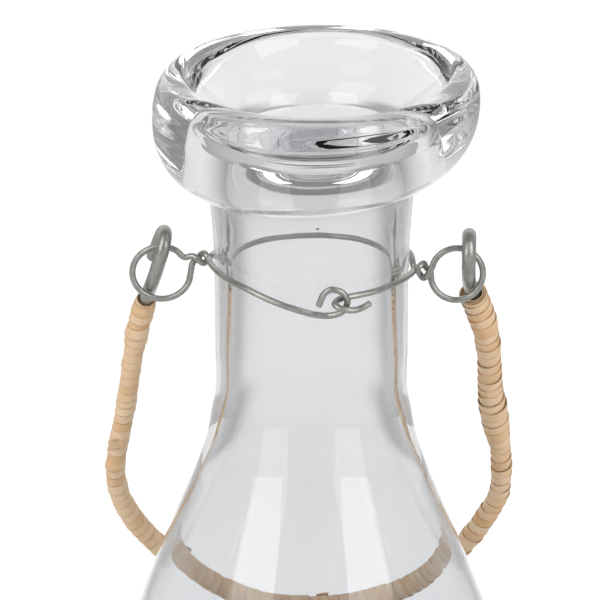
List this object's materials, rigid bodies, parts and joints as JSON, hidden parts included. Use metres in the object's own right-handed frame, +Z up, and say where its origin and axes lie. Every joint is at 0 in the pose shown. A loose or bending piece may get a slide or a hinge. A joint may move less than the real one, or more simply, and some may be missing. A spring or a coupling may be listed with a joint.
{
  "type": "glass bottle with a wrapped bail handle",
  "caption": "Large clear glass bottle with a heavy lip, a hooked wire neck collar and a swinging bail handle wrapped in bamboo strip.",
  "frame": {"origin": "centre of the standing ring, on the surface that the bottle stands on", "axes": "+Z up along the neck; -Y is the front, where the collar's clasp is; +X is to the right seen from the front"},
  "size_m": [0.172, 0.172, 0.367],
  "materials": {
    "clear_glass": "clear blown glass with a faint grey tint, seeds and scratches",
    "galvanised_wire": "dull galvanised wire with soft highlights",
    "bamboo_strip": "pale tan split bamboo with a fine lengthwise grain"
  },
  "bodies": {
    "bottle": {"glass_bottle": "clear_glass"},
    "collar": {"neck_wire": "galvanised_wire"},
    "handle": {"handle_wire": "galvanised_wire", "wrap_strip_1": "bamboo_strip", "wrap_strip_2": "bamboo_strip", "wrap_strip_3": "bamboo_strip", "wrap_strip_4": "bamboo_strip", "wrap_strip_5": "bamboo_strip", "wrap_strip_6": "bamboo_strip"}
  },
  "joints": [
    {"name": "collar_turn", "type": "hinge", "parent": "bottle", "child": "collar", "pos_m": [0, 0, 0.3], "axis": [0, 0, 1], "continuous": true},
    {"name": "handle_swing", "type": "hinge", "parent": "collar", "child": "handle", "pos_m": [0, 0, 0.304], "axis": [1, 0, 0], "range_deg": [0, 310.5]}
  ]
}
